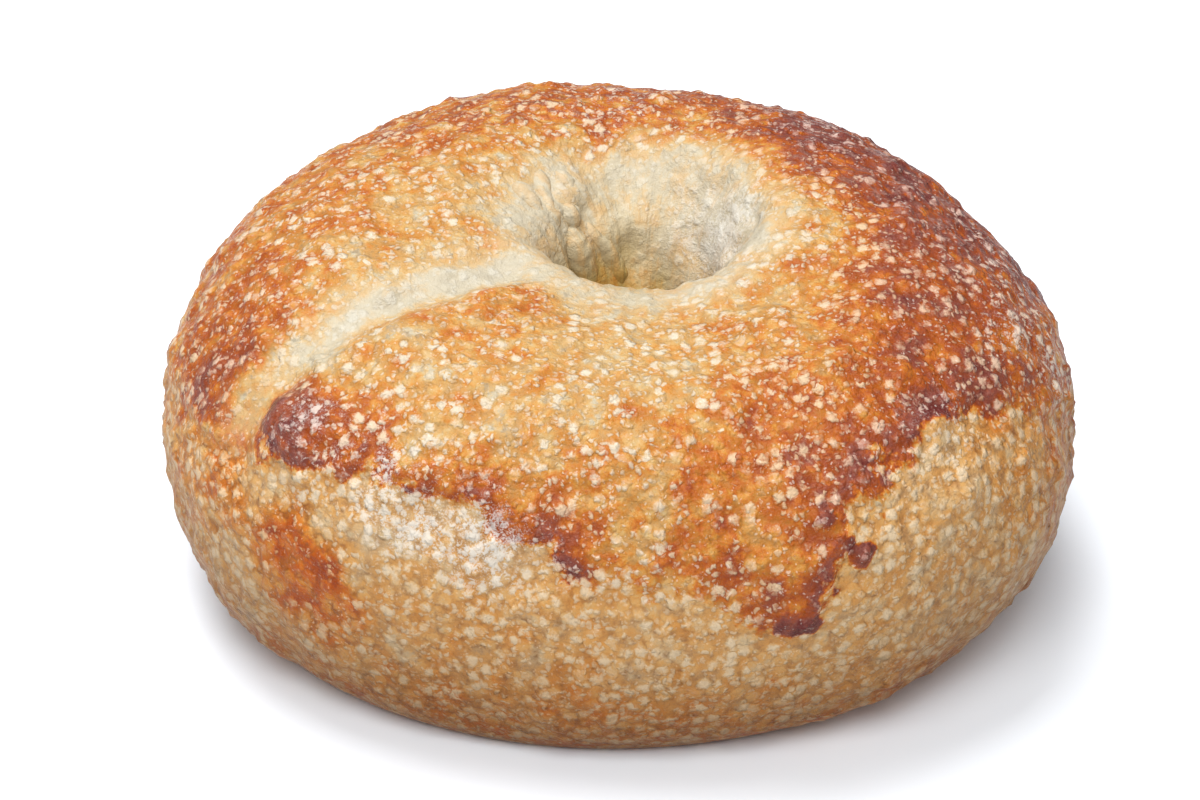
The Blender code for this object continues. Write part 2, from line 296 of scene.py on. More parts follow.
def funnel_relief(points, hole_azimuth, hole_radius):
    """Cosine pleats on the funnel's wall, less the hollow, with a rise for each flap."""
    gathered = 1.0 - smooth(hole_radius, *PLEATS_FADE)
    gathered = gathered * smooth(points[..., 2], *PLEATS_START)
    uneven = PLEATS_EVEN + PLEATS_UNEVEN * noise(points, PLEATS_UNEVEN_SIZE, 52)
    relief = gathered * uneven * lobed(hole_azimuth, PLEATS)
    relief = relief - HOLLOW_DEPTH * bump(points, HOLLOW, HOLLOW_RADIUS)
    for x, y, z, radius, height in TORN_FLAPS:
        relief = relief + height * bump(points, (x, y, z), radius)
    return relief


# The skin: swells, lumps and blisters of the proved dough, then pebbles and grains where
# the boiled skin dried and blistered in the oven
SWELL_SIZE = 24.0 * MM
SWELL_HEIGHT = 0.9 * MM
LUMP_SIZE = 11.0 * MM
LUMP_HEIGHT = 0.45 * MM
BLISTER_SPACING = 9.5 * MM
BLISTER_RADII = (2.6 * MM, 5.4 * MM)
BLISTER_HEIGHT = 0.75 * MM
LUMPS_FADE = (10.5 * MM, 22.5 * MM)
BASE_FADES = (1.0 * MM, 7.0 * MM)
RIPPLE_SIZE = 4.6 * MM
RIPPLE_HEIGHT = 0.30 * MM
PEBBLE_SPACING = 3.0 * MM
PEBBLE_RADII = (0.9 * MM, 2.1 * MM)
PEBBLE_HEIGHT = 0.62 * MM
GRAIN_SPACING = 1.8 * MM
GRAIN_RADII = (0.6 * MM, 1.2 * MM)
GRAIN_HEIGHT = 0.26 * MM
PITTED_SIZE = 1.5 * MM
PITTED_HEIGHT = 0.16 * MM
WARP_SIZE = 2.6 * MM
WARP_REACH = 1.1 * MM
FINE_IN_HOLE = 0.12


def warped(points, size, reach, channel):
    """The points pushed about by noise, so that what is scattered on them isn't round."""
    push = np.stack([noise(points, size, channel + 4 * k) for k in range(3)], -1)
    return points + reach * push


ring = ring_surface()
azimuth = np.arctan2(ring[..., 1], ring[..., 0])
ring_radius = np.hypot(ring[..., 0], ring[..., 1])
from_hole = ring - np.array((HOLE_SHIFT[0], HOLE_SHIFT[1], 0.0))
hole_radius = np.hypot(from_hole[..., 0], from_hole[..., 1])
hole_azimuth = np.arctan2(from_hole[..., 1], from_hole[..., 0])
steps = np.linalg.norm(np.diff(ring, axis=0), axis=-1)
section_length = np.concatenate([np.zeros((1, SECTIONS)), np.cumsum(steps, 0)])

# Spokes run out from the hole and hoops run round it: the dough was stretched along both.
# Each place is (cosine, sine, distance), so that a pattern on it closes round the ring
SPOKE_COUNT = 9.0
SPOKE_LENGTH = 9.0 * MM
SPOKE_HEIGHT = 0.22 * MM
SPOKES_FADE = (15.0 * MM, 27.0 * MM)
TORN_SIZES = ((5.5 * MM, 0.75 * MM, 28), (2.6 * MM, 0.32 * MM, 32))
TORN_FADE = (12.0 * MM, 19.0 * MM)
HOOP_COUNT = 5.0
HOOP_WIDTH = 2.2 * MM
HOOP_HEIGHT = 0.30 * MM
BEHIND_SLANT = 0.45
BEHIND_STARTS = (6.0 * MM, 20.0 * MM)
BEHIND_HEIGHTS = (34.0 * MM, 42.0 * MM)
BEHIND_RADII = (20.0 * MM, 30.0 * MM)
spokes = np.stack([np.cos(hole_azimuth), np.sin(hole_azimuth), section_length], -1)
hoops = np.stack([np.cos(azimuth), np.sin(azimuth), section_length], -1)
near_hole = (1.0 - smooth(hole_radius, *SPOKES_FADE)) * smooth(ring[..., 2], *PLEATS_START)
behind = smooth(ring[..., 1] + BEHIND_SLANT * ring[..., 0], *BEHIND_STARTS)
behind = behind * smooth(ring[..., 2], *BEHIND_HEIGHTS) * smooth(ring_radius, *BEHIND_RADII)
spoke_noise = noise(spokes * (SPOKE_COUNT, SPOKE_COUNT, 1.0 / SPOKE_LENGTH), 1.0, 20)
hoop_noise = noise(hoops * (HOOP_COUNT, HOOP_COUNT, 1.0 / HOOP_WIDTH), 1.0, 24)

# The beads of nearly burnt dough where the crust's edge blistered, each (x, y, z, radius,
# height) in millimetres: a point rises as high as the strongest bead there
EDGE_BEADS = (
    (-40.5, -30.0, 39.0, 2.6, 0.8), (-38.5, -33.5, 38.0, 2.8, 0.9), (-35.0, -35.0, 40.5, 2.2, 0.6),
    (-30.0, -39.0, 39.5, 1.8, 0.5), (-25.0, -43.5, 37.0, 1.8, 0.5), (-17.0, -46.8, 38.8, 1.8, 0.8),
    (-12.0, -49.0, 37.6, 1.4, 0.6), (-9.6, -50.1, 36.2, 1.6, 0.9), (-6.2, -51.4, 33.4, 2.2, 1.0),
    (0.4, -50.8, 36.0, 1.4, 0.6), (19.5, -51.5, 23.0, 1.8, 0.8), (22.5, -51.3, 23.5, 2.0, 1.0),
    (25.0, -50.5, 26.5, 1.6, 0.5), (28.5, -47.5, 31.5, 1.5, 1.1), (26.8, -47.6, 31.9, 1.5, 0.8),
    (25.2, -47.9, 32.5, 1.5, 0.8), (24.0, -46.5, 36.5, 1.8, 0.9), (25.5, -45.0, 38.5, 1.7, 0.8),
    (28.0, -42.5, 40.0, 1.4, 0.8), (30.5, -40.5, 40.5, 1.3, 0.7), (33.0, -38.5, 40.8, 1.5, 0.8),
    (35.5, -36.8, 41.2, 1.3, 0.7), (38.0, -35.0, 41.5, 1.5, 0.8), (41.0, -31.5, 41.5, 1.5, 0.6),
    (45.5, -27.5, 41.0, 1.6, 0.5),
)


def strongest(points, spots):
    """The largest of the spots' strengths, each falling off as a bell curve."""
    highest = np.zeros(points.shape[:-1])
    for x, y, z, radius, strength in spots:
        near = bump(points, (x * MM, y * MM, z * MM), radius * MM)
        highest = np.maximum(highest, strength * near)
    return highest


skin = smooth(hole_radius, *LUMPS_FADE)
lumps = SWELL_HEIGHT * noise(ring, SWELL_SIZE, 0) + LUMP_HEIGHT * noise(ring, LUMP_SIZE, 4)
lumps = lumps + BLISTER_HEIGHT * domes(ring, BLISTER_SPACING, BLISTER_RADII, 8)
relief = lumps * skin
relief = relief + fold_relief(ring, azimuth, ring_radius)
relief = relief + crust_relief(ring, azimuth, ring_radius)
relief = relief + funnel_relief(ring, hole_azimuth, hole_radius)

bent = warped(ring, WARP_SIZE, WARP_REACH, 60)
pebbles = domes(bent, PEBBLE_SPACING, PEBBLE_RADII, 80)
grains = domes(bent, GRAIN_SPACING, GRAIN_RADII, 90)
fine = RIPPLE_HEIGHT * noise(ring, RIPPLE_SIZE, 100) + PEBBLE_HEIGHT * pebbles + GRAIN_HEIGHT * grains
fine = fine + PITTED_HEIGHT * noise(ring, PITTED_SIZE, 104)
beads = MM * strongest(warped(ring - MIDDLE, WARP_SIZE, WARP_REACH, 64), EDGE_BEADS)
relief = relief + fine * (FINE_IN_HOLE + (1.0 - FINE_IN_HOLE) * skin)
relief = relief + SPOKE_HEIGHT * near_hole * spoke_noise
relief = relief + HOOP_HEIGHT * behind * hoop_noise + beads
torn = (1.0 - smooth(hole_radius, *TORN_FADE)) * smooth(ring[..., 2], *PLEATS_START)
relief = relief + torn * sum(height * noise(ring, size, channel) for size, height, channel in TORN_SIZES)
relief = relief * smooth(ring[..., 2], *BASE_FADES)
surface = ring + normals_of(ring) * relief[..., None]
surface[..., 2] = np.maximum(surface[..., 2], 0.0)
surface = surface - MIDDLE

# How brown the top crust is at chosen spots, each (x, y, z, radius, level) in millimetres:
# 0 is pale dough, 0.25 golden, 0.5 orange, 0.7 deep brown and 1 nearly burnt
BAKED_SPOTS = (
    # the left shoulder and its dark patch
    (-36, 4, 50, 9, 0.40), (-46, -11, 44, 6, 0.60), (-49, -18, 39, 5, 0.78), (-50, -6, 38, 7, 0.48),
    (-30, -8, 48, 8, 0.26), (-25, 6, 50, 8, 0.17), (-43, 14, 44, 8, 0.44), (-38, -11, 46, 6, 0.38),
    # the swollen end of the front lobe and the frosted band behind the crust's edge
    (-40, -32, 39, 4.5, 0.94), (-38, -35, 39.5, 3.5, 0.88), (-32, -37.5, 40.5, 4, 0.56),
    (-29, -42, 37.5, 3, 0.82), (-22, -41, 41.6, 2.5, 0.16), (-17, -46.5, 39, 3.5, 0.78),
    (-13, -48.5, 37.5, 3, 0.60), (-9.5, -50, 36, 3, 0.84), (-6, -51, 33, 3.5, 0.90),
    (0, -51, 36, 2.5, 0.66),
    # the golden front
    (-30, -26, 45, 6, 0.28), (-20, -32, 46, 7, 0.24), (-14, -37, 45, 7, 0.28), (-7, -40, 44, 7, 0.28),
    (0, -30, 46, 9, 0.18), (8, -27, 46, 7, 0.22), (0, -41, 42, 6, 0.30), (-7, -46, 38, 4, 0.44),
    (2, -47, 37, 6, 0.34), (9, -48, 36, 6, 0.42), (3, -50, 31, 5, 0.36), (10, -51, 28, 6, 0.44),
    (16, -45, 39, 7, 0.50), (22, -51, 24, 5, 0.82), (17, -51, 27, 5, 0.52), (27, -48, 32, 4, 0.62),
    # the orange right front and the dark line of the crust's edge
    (18, -28, 45, 8, 0.42), (21, -36, 44, 7, 0.50), (25, -42, 41, 5, 0.66), (28, -41, 40, 3, 0.86),
    (33, -38, 40.5, 3, 0.88), (38, -34, 41.5, 3, 0.88), (30, -34, 43, 6, 0.56), (32, -18, 48, 7, 0.68),
    (36, -26, 43, 5, 0.70), (22, -17, 48, 7, 0.26), (46, -26, 40, 6, 0.66), (44, -14, 45, 8, 0.72),
    (53, -12, 39, 8, 0.56),
    # the dark right shoulder and the rim behind the hole
    (48, -1, 44, 8, 0.82), (42, 2, 48, 7, 0.84), (36, 9, 50, 7, 0.90), (30, 12, 51, 7, 0.86),
    (25, 22, 51, 7, 0.92), (16, 28, 51, 7, 0.70), (23, 0, 50, 6, 0.30), (26, 8, 50, 5, 0.52),
    (50, 12, 38, 11, 0.86), (38, 30, 40, 12, 0.84), (20, 42, 40, 11, 0.74), (5, 32, 51, 7, 0.58),
    (-8, 30, 51, 8, 0.56), (-20, 25, 51, 8, 0.50), (-30, 15, 50, 8, 0.44), (-10, 20, 51, 6, 0.18),
    (10, 22, 51, 6, 0.24), (0, 46, 40, 11, 0.62), (-22, 42, 38, 11, 0.56), (-40, 28, 38, 11, 0.50),
)
# How toasted the paler side below the crust is, in the same way
TOASTED_SPOTS = (
    (-42, -40.5, 26.5, 4, 0.50), (-39, -43.5, 24, 4, 0.62), (-36.5, -45, 20, 3.5, 0.54),
    (-46, -30, 30, 4, 0.36), (-50, -20, 28, 7, 0.30), (-26, -44, 32, 5, 0.10), (-15, -48, 32, 5, 0.08),
    (-42, -34, 33, 4, 0.14), (-20, -48, 24, 7, 0.20), (-6, -50, 24, 8, 0.20), (8, -51, 20, 8, 0.16),
    (30, -45, 25, 9, 0.16), (45, -30, 34, 6, 0.26), (52, -20, 27, 7, 0.34), (40, -38, 34, 5, 0.14),
    (56, -5, 20, 9, 0.34), (50, 25, 15, 12, 0.30), (20, 48, 18, 13, 0.30), (-15, 48, 18, 13, 0.24),
    (-45, 30, 15, 12, 0.28), (-55, 0, 22, 9, 0.28),
)
SPOT_SHARE = 0.12
CRUST_LEVEL = 0.45
SIDE_LEVEL = 0.16
# Browner low down, partly because the lower side toasted more and partly as painted shade
LOW_TOAST_AND_SHADE = 0.12
LOW_TOAST_AND_SHADE_FADES = (4.0 * MM, 20.0 * MM)


def spotted(points, spots, level):
    """The mean of the spots' levels, each weighted by a bell curve of its distance."""
    weight = np.full(points.shape[:-1], SPOT_SHARE)
    total = weight * level
    for x, y, z, radius, spot_level in spots:
        near = bump(points, (x * MM, y * MM, z * MM), radius * MM)
        weight = weight + near
        total = total + near * spot_level
    return total / weight


EDGE_SLOPE = 0.7


def slope_of(values, grid):
    """How steeply values rise along the grid's surface: both differences over their lengths."""
    rises = []
    for axis in (0, 1):
        run = np.linalg.norm(np.roll(grid, -1, axis) - np.roll(grid, 1, axis), axis=-1)
        rises.append((np.roll(values, -1, axis) - np.roll(values, 1, axis)) / run)
    return np.hypot(*rises)


# How sharply the crust ends, round the ring: (azimuth in degrees, half the width of the step)
EDGE_SOFTNESS = (
    (-180, 2.5 * MM), (-150, 1.4 * MM), (-138, 0.7 * MM), (-104, 0.9 * MM), (-92, 1.6 * MM),
    (-78, 1.8 * MM), (-68, 0.8 * MM), (-40, 0.7 * MM), (-20, 1.6 * MM), (20, 3.0 * MM), (130, 3.0 * MM),
)
RIM_BROWNS = 0.12
RIM_SOFTNESS = (0.8 * MM, 1.7 * MM)
BEAD_STARTS = (0.15 * MM, 0.55 * MM)
BEAD_EDGE = 2.0
BEAD_LEVEL = 0.84
# Where the dough is pale: round the hole and along the fold
PALE_STARTS = (13.0 * MM, 24.0 * MM)
PALE_LEVEL = 0.04
HOLE_LEVEL = 0.12
DEEP_STARTS = (10.0 * MM, 19.0 * MM)
FOLD_PALE_MIDDLE = -2.0 * MM
FOLD_PALE_WIDTH = 4.2 * MM
# Painted shade: the fold's pale band is darker towards its outer end
FOLD_END = (30.0 * MM, 46.0 * MM)
FOLD_END_SHADE = 0.3
# Uneven browning in patches, each (size, share, channel)
COARSE_PATCHES = ((3.6 * MM, 0.24, 240), (1.6 * MM, 0.12, 244))
# Painted shade deep in the hole, darker and yellower as it goes down, least on its right wall, which is lit
INSIDE_SHADE_FADES = (36.0 * MM, 50.0 * MM)
DEEP_SHADE_FADES = (31.0 * MM, 41.0 * MM)
UPPER_SHADE_SHARE = 0.34
INSIDE_SHADE_ENDS = (14.0 * MM, 21.0 * MM)
RIGHT_WALL_LIT = (2.0 * MM, 9.0 * MM)
RIGHT_WALL_LIT_SHARE = 0.8
# Frost is the dry, whitish bloom on blistered skin, and one spot is painted light on the hole's
# right wall: (x, y, z, radius, strength), in millimetres
FROST_AND_LIT_WALL_SPOTS = (
    (-37, -34, 41, 4, 0.45), (-31, -38, 40, 5, 0.3), (-26, -42, 38, 4, 0.6), (-16, -49.5, 34, 5.5, 0.9),
    (-9, -49, 32, 4, 0.3), (-20, -46, 36, 4, 0.5), (-23, -45.5, 34, 4.5, 0.7), (-19, -47.5, 31, 4, 0.6),
    # (11, 4, 44, 7, 1.0) is no frost but painted light, which whitens the hole's right wall
    (-28, -42.5, 34, 4.5, 0.6), (-36, -38, 33, 3.5, 0.35), (16, -8, 48, 4.5, 0.25), (11, 4, 44, 7, 1.0),
    (49, -16, 42, 6, 0.4), (50, -4, 42, 10, 0.3), (-40, 2, 48, 9, 0.15), (-44, -10, 44, 7, 0.2),
    (38, -33, 40, 5, 0.3), (28, 22, 49, 9, 0.2), (55, -15, 36, 8, 0.5), (40, 30, 38, 12, 0.4),
    (-8, 45, 42, 12, 0.4), (0, 33, 50, 10, 0.3),
)

# Glaze is smooth, glossy brown skin with few blisters, in the same way
GLAZE_SPOTS = (
    (-39, -43.5, 24, 7, 0.8), (-42, -28, 40, 3, 0.7), (-46, -27, 34, 3, 0.5), (21, -51, 25, 4, 0.5),
    (12, -49, 33, 4, 0.6), (35, -28, 43, 5, 0.5), (10, -45, 41, 4, 0.5), (26, -50, 29, 3, 0.5),
    (-12, -47, 36, 3, 0.5), (32, -26, 46, 5, 0.4),
)

# The places of all the spots are bent by noise, first broadly and then finely, and so are
# the crust's edge, the fold and the rim of the hole: each (size, reach, channel)
PLACE_WARPS = ((6.0 * MM, 2.2 * MM, 120), (2.4 * MM, 0.8 * MM, 140))
EDGE_WARP = (5.0 * MM, 1.8 * MM, 180)
FOLD_WANDER_SIZE, FOLD_WANDER = 5.0 * MM, 0.9 * MM
FOLD_PALE_STARTS = (30.0 * MM, 38.0 * MM)
HOLE_WANDER_SIZE, HOLE_WANDER = 7.0 * MM, 2.0 * MM
place = surface
for size, reach, channel in PLACE_WARPS:
    place = warped(place, size, reach, channel)
bake = spotted(place, BAKED_SPOTS, CRUST_LEVEL)
across = fold_across(azimuth, ring_radius) + FOLD_WANDER * noise(ring, FOLD_WANDER_SIZE, 160)
in_fold = np.exp(-(((across - FOLD_PALE_MIDDLE) / FOLD_PALE_WIDTH) ** 2))
in_fold = in_fold * smooth(ring[..., 2], *FOLD_PALE_STARTS)
# painted shade towards the fold's outer end
in_fold = in_fold * (1.0 - FOLD_END_SHADE * smooth(ring_radius, *FOLD_END))
hole_reach = hole_radius + HOLE_WANDER * noise(ring, HOLE_WANDER_SIZE, 164)
pale = np.maximum(1.0 - smooth(hole_reach, *PALE_STARTS), in_fold)
deep = 1.0 - smooth(hole_reach, *DEEP_STARTS)
bake = bake * (1.0 - pale) + pale * (PALE_LEVEL + (HOLE_LEVEL - PALE_LEVEL) * deep)
toast = spotted(place, TOASTED_SPOTS, SIDE_LEVEL)
# browner towards the foot: partly toasting, partly painted shade
toast = toast + LOW_TOAST_AND_SHADE * (1.0 - smooth(place[..., 2], *LOW_TOAST_AND_SHADE_FADES))
frost_and_lit_wall = strongest(place, FROST_AND_LIT_WALL_SPOTS)
glaze = strongest(place, GLAZE_SPOTS)
coarse = sum(share * noise(ring, size, channel) for size, share, channel in COARSE_PATCHES)

# How far each point is inside the crust's edge, in half widths of its step. Where the
# crust ends sharply, its rim stood up in the heat and browned most, and so did the beads
bent_ring = warped(ring, *EDGE_WARP)
edge = above_edge(bent_ring, np.arctan2(bent_ring[..., 1], bent_ring[..., 0]))
edge = edge / np.maximum(slope_of(edge, ring), EDGE_SLOPE)
turns = [point[0] for point in EDGE_SOFTNESS]
softness = np.interp(np.degrees(azimuth), turns, [point[1] for point in EDGE_SOFTNESS], period=360)
edge = edge / softness
rim = RIM_BROWNS * (1.0 - smooth(softness, *RIM_SOFTNESS))
beaded = smooth(beads, *BEAD_STARTS)
edge = np.maximum(edge, BEAD_EDGE * (2.0 * beaded - 1.0))
bake = np.maximum(bake, BEAD_LEVEL * beaded)

# Painted shade darkens the sides low down, reaching higher on the right and a little on the left,
# where less light falls; the flat base browned on the baking sheet and takes no painted shade
LOW_SHADE_FADES = (1.0 * MM, 28.0 * MM)
LOW_SHADE_RIGHT, LOW_SHADE_LEFT = 19.0 * MM, 5.0 * MM
LOW_SHADE_SIDES = (15.0 * MM, 50.0 * MM)
BASE_FACES = (0.6, 0.9)
BASE_TOAST = 0.44
sideways = surface[..., 0]
low_shade_reach = LOW_SHADE_FADES[1] + LOW_SHADE_RIGHT * smooth(sideways, *LOW_SHADE_SIDES)
low_shade_reach = low_shade_reach + LOW_SHADE_LEFT * smooth(-sideways, *LOW_SHADE_SIDES)
low = 1.0 - smooth(surface[..., 2], LOW_SHADE_FADES[0], low_shade_reach)
base = smooth(-normals_of(surface)[..., 2], *BASE_FACES) * (surface[..., 2] < BASE_FADES[1])
toast = toast + (BASE_TOAST - toast) * base
low = low * (1.0 - base)


def hole_shade_at(points):
    """How much painted shade each point in the hole gets: a gentle fade from its lip, then a strong one.

    Both fades are weaker by a share towards the right wall, which the light reaches.
    """
    across, height = points[..., 0], points[..., 2]
    depth = UPPER_SHADE_SHARE * (1.0 - smooth(height, *INSIDE_SHADE_FADES))
    depth = depth + (1.0 - UPPER_SHADE_SHARE) * (1.0 - smooth(height, *DEEP_SHADE_FADES))
    return depth * (1.0 - RIGHT_WALL_LIT_SHARE * smooth(across, *RIGHT_WALL_LIT))


# The painted shade of the hole, fading out away from it, kept for the material
painted_hole_shade = hole_shade_at(place) * (1.0 - smooth(hole_radius, *INSIDE_SHADE_ENDS))


def grid_faces(rows, columns):
    """Quads between each pair of rows and columns, closed both ways."""
    row, column = np.meshgrid(np.arange(rows), np.arange(columns), indexing="ij")
    next_row, next_column = (row + 1) % rows, (column + 1) % columns
    corners = (
        row * columns + column,
        row * columns + next_column,
        next_row * columns + next_column,
        next_row * columns + column,
    )
    return np.stack(corners, -1).reshape(-1, 4)


def new_piece(name, points, faces):
    """A smooth mesh object from whole arrays of points and of faces with equal sides."""
    sides = faces.shape[1]
    mesh = bpy.data.meshes.new(name)
    mesh.vertices.add(len(points))
    mesh.vertices.foreach_set("co", points.astype(np.float32).ravel())
    mesh.loops.add(faces.size)
    mesh.loops.foreach_set("vertex_index", faces.astype(np.int32).ravel())
    mesh.polygons.add(len(faces))
    mesh.polygons.foreach_set("loop_start", np.arange(len(faces), dtype=np.int32) * sides)
    mesh.update(calc_edges=True)
    mesh.shade_smooth()
    piece = bpy.data.objects.new(name, mesh)
    bpy.context.scene.collection.objects.link(piece)
    return piece


def store(piece, name, values):
    """Keeps a number or a vector for each vertex, for the material to read."""
    is_vector = values.size > len(piece.data.vertices)
    layer = piece.data.attributes.new(name, "FLOAT_VECTOR" if is_vector else "FLOAT", "POINT")
    layer.data.foreach_set("vector" if is_vector else "value", values.astype(np.float32).ravel())


bread = new_piece("bread", surface.reshape(-1, 3), grid_faces(*surface.shape[:2]))
kept_numbers = {
    "bake": bake, "toast": toast, "edge": edge, "rim": rim, "frost_and_lit_wall": frost_and_lit_wall, "glaze": glaze,
    "pale": pale, "behind": behind, "painted_hole_shade": painted_hole_shade, "coarse": coarse, "low": low, "base": base,
    "plate": pebbles * smooth(hole_radius, *PALE_STARTS), "spoke": spokes, "hoop": hoops,
}
for name, values in kept_numbers.items():
    store(bread, name, values)

# The finish of the bread, all from its own kept numbers and from noise on its place.
# Each colour goes with how brown the crust is: first down between the blisters, then on them
CREVICE_COLOURS = (
    (0.00, (0.385, 0.335, 0.240)),
    (0.08, (0.410, 0.350, 0.240)),
    (0.16, (0.450, 0.296, 0.122)),
    (0.25, (0.450, 0.250, 0.075)),
    (0.36, (0.440, 0.183, 0.028)),
    (0.50, (0.385, 0.101, 0.009)),
    (0.65, (0.260, 0.049, 0.007)),
    (0.82, (0.185, 0.046, 0.029)),
    (1.00, (0.105, 0.016, 0.013)),
)
BLISTER_COLOURS = (
    (0.00, (0.455, 0.425, 0.360)),
    (0.08, (0.485, 0.465, 0.400)),
    (0.16, (0.512, 0.468, 0.372)),
    (0.25, (0.520, 0.450, 0.340)),
    (0.36, (0.515, 0.418, 0.300)),
    (0.50, (0.535, 0.375, 0.225)),
    (0.65, (0.510, 0.330, 0.215)),
    (0.82, (0.470, 0.295, 0.235)),
    (1.00, (0.405, 0.205, 0.165)),
)
# The colour of the painted glints: small bright marks that stand for light caught on the crust
GLINT_COLOUR = (0.78, 0.71, 0.62)
FROST_AND_LIT_WALL_COLOUR = (0.60, 0.585, 0.55)
SIDE_TINT = (1.08, 0.90, 0.72)
# SHADED_COLOUR is the painted shade low on the sides
SHADED_COLOUR = (0.50, 0.43, 0.36)
# The painted shade of the hole, from none at its lip (0) to its deepest (1)
HOLE_SHADE_TINTS = (
    (0.00, (1.0, 1.0, 1.0)),
    (0.60, (0.90, 0.72, 0.34)),
    (1.00, (0.56, 0.36, 0.07)),
)
BASE_COLOUR = (0.13, 0.055, 0.015)
# Painted shade in the valleys between the blisters: its tint and how deep it goes
VALLEY_SHADE_TINT = (0.56, 0.38, 0.22)
VALLEY_SHADE_DEPTH = 0.85

# Its patterns, each noise as (size, detail, roughness)
FINE_NOISE = (1.3 * MM, 4.0, 0.66)
GRIT_NOISE = (0.24 * MM, 2.0, 0.6)
EDGE_NOISE = (2.2 * MM, 3.0, 0.68)
EDGE_NOISE_REACH = 6.0
SPOKE_SCALE, SPOKE_NOISE = (11.0, 11.0, 1.0 / (10.0 * MM)), (1.0, 3.0, 0.62)
HOOP_SCALE, HOOP_NOISE = (14.0, 14.0, 1.0 / (0.9 * MM)), (1.0, 2.0, 0.62)
BENT_SIZE, BENT_REACH = 0.9 * MM, 0.9 * MM
LARGE_BLISTER, SMALL_BLISTER = 1.7 * MM, 0.8 * MM
LUMP_SLOPE = (0.05, 0.75)

# How the browning varies: the rim's fade inside the edge, and how strong the patches are
RIM_FADES = (1.0, 4.0)
CONTRAST_LEVELS, CONTRASTS = (0.0, 0.4), (0.25, 1.0)
SIDE_CONTRAST, SIDE_MOTTLES = 0.22, -0.35
FINE_BROWNS = 0.8
PALE_SMOOTHS = -0.6

# How much each thing gathers the pale flakes of dried skin or keeps them off, and the
# chances and heights over which the large and the small ones begin
GATHERS = {"plate": 0.25, "fine": 0.9, "coarse": 1.0, "frost_and_lit_wall": 0.15, "glaze": -0.95}
BROWN_LEVELS, BROWN_GATHERS, SIDE_GATHERS = (0.45, 0.90), -0.18, 0.16
GRIT_RAGS, FINE_RAGS = 0.5, 0.9
LARGE_CHANCES, LARGE_HEIGHTS = (0.45, 0.85), (0.20, 0.80)
SMALL_CHANCES, SMALL_HEIGHTS, SMALL_SHARE = (0.40, 0.85), (0.15, 0.80), 0.85
GRIT_PALES, PALE_SHARE = 0.5, 0.25

# The painted shade in the valleys between the blisters, the painted glints, the frost
# (with the painted light of the hole's right wall) and the scorched foot
VALLEY_SHADE_HEIGHTS = (0.0, 0.45)
VALLEY_SHADE_PATCHES, VALLEY_SHADE_SHARES = (-0.25, 0.10), (1.0, 0.25)
SIDE_VALLEY_SHADE = 0.4
GLINT_SIZE, GLINT_SHARE, GLINT_RADIUS, GLINT_FADE = 0.36 * MM, 0.25, 0.62, 0.25
GLAZE_LEVELS, GLAZED_GLINTS = (0.2, 0.9), (0.28, 0.10)
FROST_ON_FLAKES, FROST_ON_GRIT, FROST_GATHERS = 0.45, 0.8, 0.40
FROST_STARTS, FROST_SHARE = (0.12, 0.46), 0.9
SOOT_NOISE, SOOT_REACH = (2.2 * MM, 2.0, 0.65), 3.0 * MM
SCORCHED_HEIGHTS, SCORCHED_SHARES = (1.0 * MM, 2.8 * MM), (0.85, 0.0)

# The sheen, and the rises of the bump in millimetres: for each size of blister the least
# one and how much more the largest has
ROUGHNESS = 0.46
FINE_ROUGHENS, TOP_ROUGHENS, GLAZE_ROUGHENS, FROST_ROUGHENS = 0.40, -0.08, -0.15, 0.2
SPECULAR_LEVEL = 0.15
LARGE_RISE, LARGE_RISE_MORE = 0.10, 0.30
SMALL_RISE, SMALL_RISE_MORE = 0.06, 0.16
GRIT_RISE, FINE_RISE, STREAK_RISE = 0.10, 0.24, 0.30


